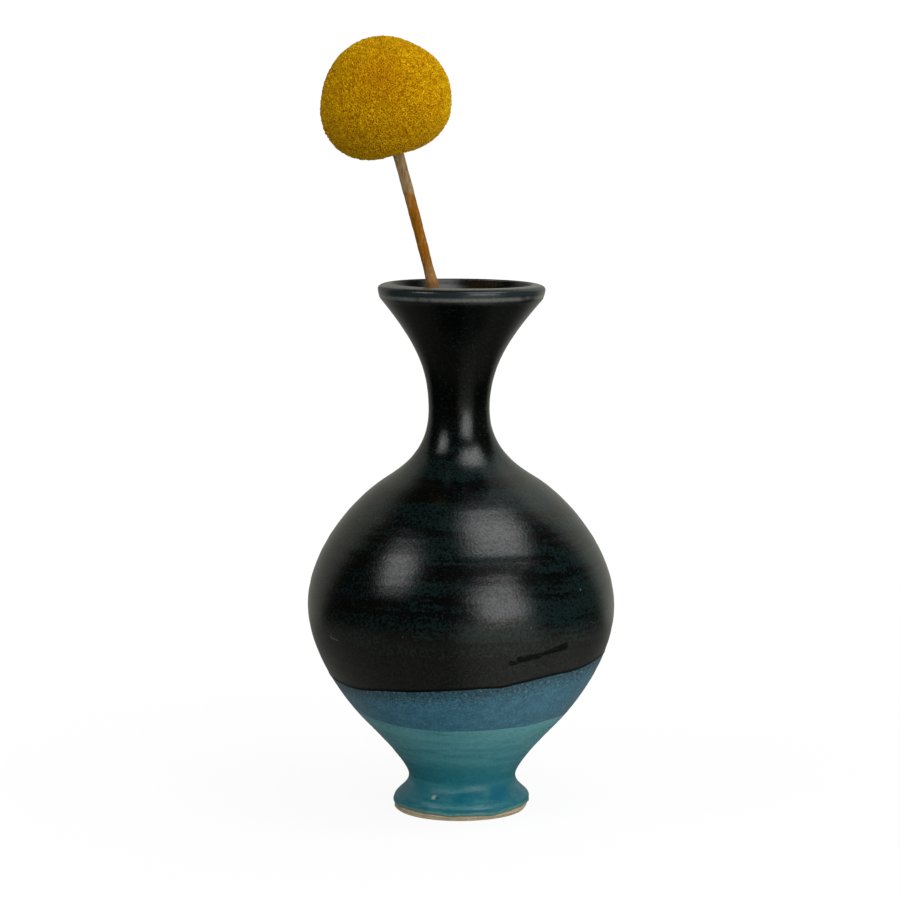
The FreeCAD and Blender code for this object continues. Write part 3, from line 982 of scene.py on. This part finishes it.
def clay_look():
    """Bare tan stoneware with dark sand and pale grains in it."""
    look = Look("bare_stoneware")
    elsewhere = look.vector("ADD", look.place, (7.0, 3.0, 9.0))
    colour = look.layered(
        look.mix(look.noise(1.6, detail=5.0, rough=0.65), (0.40, 0.30, 0.15), (0.74, 0.61, 0.40)),
        (look.patches(0.32, 0.58, 0.68, 0.0, 0.8, detail=3.0, rough=0.7), (0.30, 0.18, 0.08)),
        (look.patches(0.42, 0.6, 0.7, 0.0, 0.6, detail=2.0, place=elsewhere), (0.75, 0.68, 0.56)),
    )
    rough = look.scaled(look.noise(0.8), 0.2, 0.72)
    wavy = look.noise(1.4, stretch=level(0.3))
    look.relief((look.noise(0.28, detail=4.0, rough=0.7), 0.09), (wavy, 0.1))
    return look.finish(colour, rough, IOR=1.5)


def floret_look():
    """Dried yellow florets: bright lobes round ochre pits darkened partly with painted shade, greener on
    the right, and darker below with painted shade on the head's underside.
    """
    look = Look("dried_florets")
    x, _, z = look.parts(look.place)
    lobe = look.layered(
        look.mix(look.number("tint"), (0.46, 0.225, 0.0), (0.86, 0.520, 0.0)),
        (look.patches(5.5, 0.40, 0.68, 0.0, 0.7, detail=3.0), (0.60, 0.345, 0.0)),
        (look.span(x, -7.0, 1.0, 0.0, 0.6), (0.58, 0.415, 0.0)),
        (look.near_spot((-18.0, -13.0, 166.0), 9.0), (0.60, 0.29, 0.0)),
    )
    # The pits: ochre, darker than the lobes partly as painted shade.
    pit = look.mix(look.noise(1.2), (0.30, 0.095, 0.0), (0.48, 0.190, 0.0))
    glow = look.times(look.number("glow"), look.patches(0.4, 0.38, 0.60, 0.45, 1.05, detail=2.0))
    colour = look.layered(
        look.mix(look.span(glow, 0.0, 0.9), pit, lobe),
        (look.number("flank"), (0.46, 0.26, 0.0)),
        # Darker towards the bottom of the head: painted shade on its underside.
        (look.span(z, 144.0, 162.0, 0.58, 0.0), (0.20, 0.105, 0.0)),
    )
    rough = look.scaled(look.noise(0.4), 0.15, 0.72)
    look.relief((look.noise(0.16, detail=3.0), 0.06))
    return look.finish(colour, rough, IOR=1.4, Specular_IOR_Level=0.1)


def bed_look():
    """The ochre ground between the florets."""
    look = Look("floret_ground")
    colour = look.mix(look.noise(0.7, detail=4.0), (0.38, 0.17, 0.0), (0.50, 0.25, 0.0))
    look.relief((look.noise(0.4, detail=4.0), 0.2))
    return look.finish(colour, look.scaled(look.noise(0.5), 0.1, 0.8), IOR=1.4)


def stem_look():
    """Dried stem: orange-brown and streaked, paler at the mouth partly with painted glints, flaked at the
    mouth, and tan near the head.
    """
    look = Look("dried_stem_bark")
    along = look.number("along")
    streak = look.noise(0.5, detail=4.0, stretch=(1.0, 1.0, 0.07))
    thin = look.noise(0.22, detail=3.0, stretch=(1.0, 1.0, 0.05))
    fade = look.scaled(look.noise(6.0, detail=3.0), 16.0, along)
    flake = look.patches(0.45, 0.54, 0.62, detail=4.0, rough=0.7, stretch=(1.0, 1.0, 0.4))
    colour = look.layered(
        look.mix(streak, (0.13, 0.040, 0.0), (0.40, 0.150, 0.0)),
        (look.span(fade, 25.8, 28.8), look.mix(streak, (0.13, 0.082, 0.034), (0.46, 0.315, 0.150))),
        (look.span(thin, 0.52, 0.66, 0.0, 0.75), (0.075, 0.024, 0.001)),
        # Paler near the joint at the mouth: partly the bark's tone, partly painted glints.
        (look.span(along, 0.0, 7.0, 0.38, 0.0), (0.52, 0.33, 0.17)),
        (look.times(flake, look.band(along, 6.0, 1.0, 9.0, 0.55, 0.05)), (0.50, 0.33, 0.16)),
        (look.band(along, 0.0, 0.3, 1.8, 0.45), (0.14, 0.055, 0.008)),
    )
    rough = look.scaled(streak, 0.25, 0.42)
    look.relief((thin, 0.07), (look.noise(0.8, detail=3.0, stretch=(1.0, 1.0, 0.2)), 0.10))
    return look.finish(colour, rough, IOR=1.45, Specular_IOR_Level=0.12)


def core_look():
    """The woody core of the flower head, which the florets hide."""
    look = Look("woody_receptacle")
    colour = look.mix(look.noise(0.6, detail=4.0, rough=0.7), (0.10, 0.055, 0.02), (0.26, 0.16, 0.07))
    look.relief((look.noise(0.5, detail=4.0), 0.15))
    return look.finish(colour, look.scaled(look.noise(1.0), 0.2, 0.7), IOR=1.45)


# ---- the object


def settle(made, look, slot, body, *nodes):
    """Give a piece its material and its body, and say which CAD nodes it stands for. Its slot is not
    used.
    """
    made.data.materials.append(look)
    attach(made, body)
    if nodes:
        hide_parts(*nodes)


settle(make_clay(), clay_look(), "clay", "vase", "clay_body")
settle(make_liner_coat(), liner_look(), "inner_glaze", "vase", "liner_glaze")
settle(make_black_coat(), black_look(), "black_glaze", "vase", "black_glaze")
settle(make_blue_coat(), blue_look(), "blue_glaze", "vase", "blue_glaze")
settle(make_turquoise_coat(), turquoise_look(), "turquoise_glaze", "vase", "turquoise_glaze")
settle(make_stem(), stem_look(), "dried_stem", "flower", "stem")
crown, under, bed = make_head()
floret_material = floret_look()
settle(crown, floret_material, "florets", "flower", "floret_globe")
settle(under, floret_material, "florets", "flower")
settle(bed, bed_look(), "florets", "flower")
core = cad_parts["receptacle"]
core.data.materials.clear()
core.data.materials.append(core_look())

# ---- floor, light and camera


def direction(azimuth, elevation):
    """The way from the vase to a light. Azimuth is from -Y towards +X, in degrees."""
    a, e = math.radians(azimuth), math.radians(elevation)
    return Vector((math.sin(a) * math.cos(e), -math.cos(a) * math.cos(e), math.sin(e)))


WARM = (0.98, 1.0, 0.88)
WHITE_ROOM = 1.02
FLOOR_REACH = 3.0
FLOOR_DROP = 0.00003


def room_glow(graph, way):
    """How bright the room looks in a mirror, in a direction: bright walls behind the vase up to a dark
    ceiling, and dark walls in front of it."""
    x, y, _ = graph.parts(graph.vector("NORMALIZE", graph.vector("MULTIPLY", way, (1.0, 1.0, 0.0))))
    rise = graph.parts(way)["Z"]
    behind = graph.times(
        graph.span(x, -0.8, 0.8, 0.29, 0.42),
        graph.span(rise, 0.1, 0.55, 1.0, 1.2),
        graph.span(rise, 0.62, 0.84, 1.0, 0.04),
    )
    before = graph.span(x, -0.8, 0.8, 0.004, 0.02)
    facing = graph.scaled(rise, 0.2, graph.math("ADD", y, graph.span(x, 0.1, 0.75, 0.0, -0.09)))
    return graph.between(graph.span(facing, 0.38, 0.66), before, behind)


def floor_mesh():
    """Rings of faces, closer together near the vase."""
    sides = 96
    rings = (0.05, 0.2, 0.8, FLOOR_REACH)
    points = [(0.0, 0.0, 0.0)]
    for ring in rings:
        points += [(ring * math.cos(a), ring * math.sin(a), 0.0) for a in angles_of(sides)]
    faces = [(0, 1 + n, 1 + (n + 1) % sides) for n in range(sides)]
    faces += grid_faces(len(rings), sides, 1)
    mesh = bpy.data.meshes.new("floor")
    mesh.from_pydata(points, [], faces)
    return mesh


def floor_mirrored(graph, spot, far, shade):
    """How bright the floor looks in the glaze, all painted light: brighter on the right with a painted
    pool of light from a low lamp, a painted shadow near the vase, and the room far away.
    """
    flat = graph.vector("NORMALIZE", graph.vector("MULTIPLY", spot, (1.0, 1.0, 0.0)))
    right = graph.vector("DOT_PRODUCT", flat, tuple(direction(50, 0)))
    table = graph.times(graph.span(right, 0.5, 1.0, 0.155, 0.33), shade)
    # A painted pool of light from the low lamp.
    lamp = graph.span(graph.vector("DOT_PRODUCT", flat, tuple(direction(28, 0))), 0.80, 0.99)
    lamp = graph.times(lamp, graph.span(far, 0.05, 0.3, 0.1, 0.6))
    plain = graph.between(graph.span(far, 0.12, 0.28), table, room_glow(graph, spot))
    return graph.math("ADD", plain, lamp)


def floor_look():
    """A pale matt surface. Far from the vase it fades to the backdrop's white. To bounced and mirrored
    light it glows with painted light, brighter on the right, with a painted shadow round the foot.
    """
    material = bpy.data.materials.new("pale_floor")
    material.use_nodes = True
    material.node_tree.nodes.clear()
    graph = Graph(material.node_tree)
    spot = graph.add("ShaderNodeTexCoord").outputs["Object"]
    far = graph.vector("LENGTH", spot)
    ray = graph.add("ShaderNodeLightPath").outputs
    soft = graph.add("ShaderNodeBsdfDiffuse")
    soft.inputs["Color"].default_value = (0.88, 0.88, 0.88, 1.0)
    lit = graph.glow("ShaderNodeEmission", WHITE_ROOM)
    seen = graph.choose(graph.span(far, 0.02, 0.35, 0.9, 1.0), soft.outputs[0], lit)
    # A painted shadow round the foot.
    shade = graph.span(far, 0.012, 0.05, 0.25, 1.0)
    # Light bounced from the floor, painted brighter on the right.
    bounce = graph.times(graph.span(graph.parts(spot)["X"], -0.12, 0.12, 0.4, 1.0), shade)
    mirrored = graph.glow("ShaderNodeEmission", floor_mirrored(graph, spot, far, shade), WARM)
    surface = graph.choose(ray["Is Diffuse Ray"], seen, graph.glow("ShaderNodeEmission", bounce))
    surface = graph.choose(ray["Is Glossy Ray"], surface, mirrored)
    graph.feed(graph.add("ShaderNodeOutputMaterial").inputs["Surface"], surface)
    return material


def make_floor():
    """A wide pale floor, a hair under the foot."""
    floor = bpy.data.objects.new("floor", floor_mesh())
    floor.location = (0.0, 0.0, -FLOOR_DROP)
    bpy.context.scene.collection.objects.link(floor)
    floor.data.materials.append(floor_look())


SOFT_EDGE = 0.36  # how much of a lamp's width is its fading edge
LAMP_FAR = 0.9
LAMP_AIM = Vector((0.0, 0.0, 0.06))


def soften(lamp):
    """Let a lamp fade towards its edges, as a softbox does."""
    lamp.use_nodes = True
    graph = Graph(lamp.node_tree)
    across, up, _ = graph.parts(graph.add("ShaderNodeNewGeometry").outputs["Parametric"])
    across = graph.span(graph.math("PINGPONG", across, 0.5), 0.0, SOFT_EDGE)
    up = graph.span(graph.math("PINGPONG", up, 0.5), 0.0, SOFT_EDGE)
    graph.feed(lamp.node_tree.nodes["Emission"].inputs["Strength"], graph.times(across, up))


def soft_light(name, azimuth, elevation, wide, tall, glow, runs):
    """A rectangular lamp facing the vase. Wide and tall are the angles it fills, in degrees, and runs
    is the way that its wide side runs."""
    lamp = bpy.data.lights.new(name, "AREA")
    lamp.shape = "RECTANGLE"
    grow = 1 / (1 - SOFT_EDGE)
    lamp.size = 2 * LAMP_FAR * math.tan(math.radians(wide) / 2) * grow
    lamp.size_y = 2 * LAMP_FAR * math.tan(math.radians(tall) / 2) * grow
    lamp.energy = glow * math.pi * lamp.size * lamp.size_y
    soften(lamp)
    made = bpy.data.objects.new(name, lamp)
    way = direction(azimuth, elevation)
    along = Vector(runs)
    along = (along - way * along.dot(way)).normalized()
    up = way.cross(along)
    turn = Matrix((along, up, way)).transposed().to_4x4()
    made.matrix_world = Matrix.Translation(LAMP_AIM + way * LAMP_FAR) @ turn
    bpy.context.scene.collection.objects.link(made)


def make_lights():
    """Four soft lamps: high on the right with a weak one behind it, on the left, and low on the right."""
    soft_light("lamp_high", 54, 62.5, 36, 26, 3.1, (1.1, 0.54, -0.27))
    soft_light("lamp_high_back", 128, 58, 36, 24, 0.3, (0.6, 0.8, 0.0))
    soft_light("lamp_left", -58, 37, 22, 25, 2.75, (0.59, -0.65, 0.14))
    soft_light("lamp_low_right", 30, 15, 33, 35, 2.9, (0.83, 0.5, 0.34))


def make_world():
    """A white room: even light, dark only where the vase mirrors the side that the camera is on."""
    world = bpy.data.worlds.new("white_room")
    bpy.context.scene.world = world
    world.use_nodes = True
    world.node_tree.nodes.clear()
    graph = Graph(world.node_tree)
    way = graph.add("ShaderNodeTexCoord").outputs["Generated"]
    ray = graph.add("ShaderNodeLightPath").outputs
    even = graph.glow("ShaderNodeBackground", graph.span(graph.parts(way)["X"], -0.9, 0.9, 0.28, 0.72))
    mirrored = graph.glow("ShaderNodeBackground", room_glow(graph, way), WARM)
    surface = graph.choose(ray["Is Glossy Ray"], even, mirrored)
    surface = graph.choose(ray["Is Camera Ray"], surface, graph.glow("ShaderNodeBackground", WHITE_ROOM))
    graph.feed(graph.add("ShaderNodeOutputWorld").inputs["Surface"], surface)


LENS = 115.77
SENSOR = 36.0
CAMERA_PLACE = (-0.0025, -0.6523, 0.15967)
LOOKS_DOWN = math.radians(6.75)


def make_camera():
    """A long lens a little above the lip, looking slightly down."""
    lens = bpy.data.cameras.new("camera")
    lens.lens = LENS
    lens.sensor_width = SENSOR
    lens.sensor_fit = "HORIZONTAL"
    camera = bpy.data.objects.new("camera", lens)
    camera.location = CAMERA_PLACE
    camera.rotation_euler = (math.pi / 2 - LOOKS_DOWN, 0.0, 0.0)
    bpy.context.scene.collection.objects.link(camera)
    bpy.context.scene.camera = camera


make_floor()
make_lights()
make_world()
make_camera()
bpy.context.scene.view_settings.view_transform = "Standard"
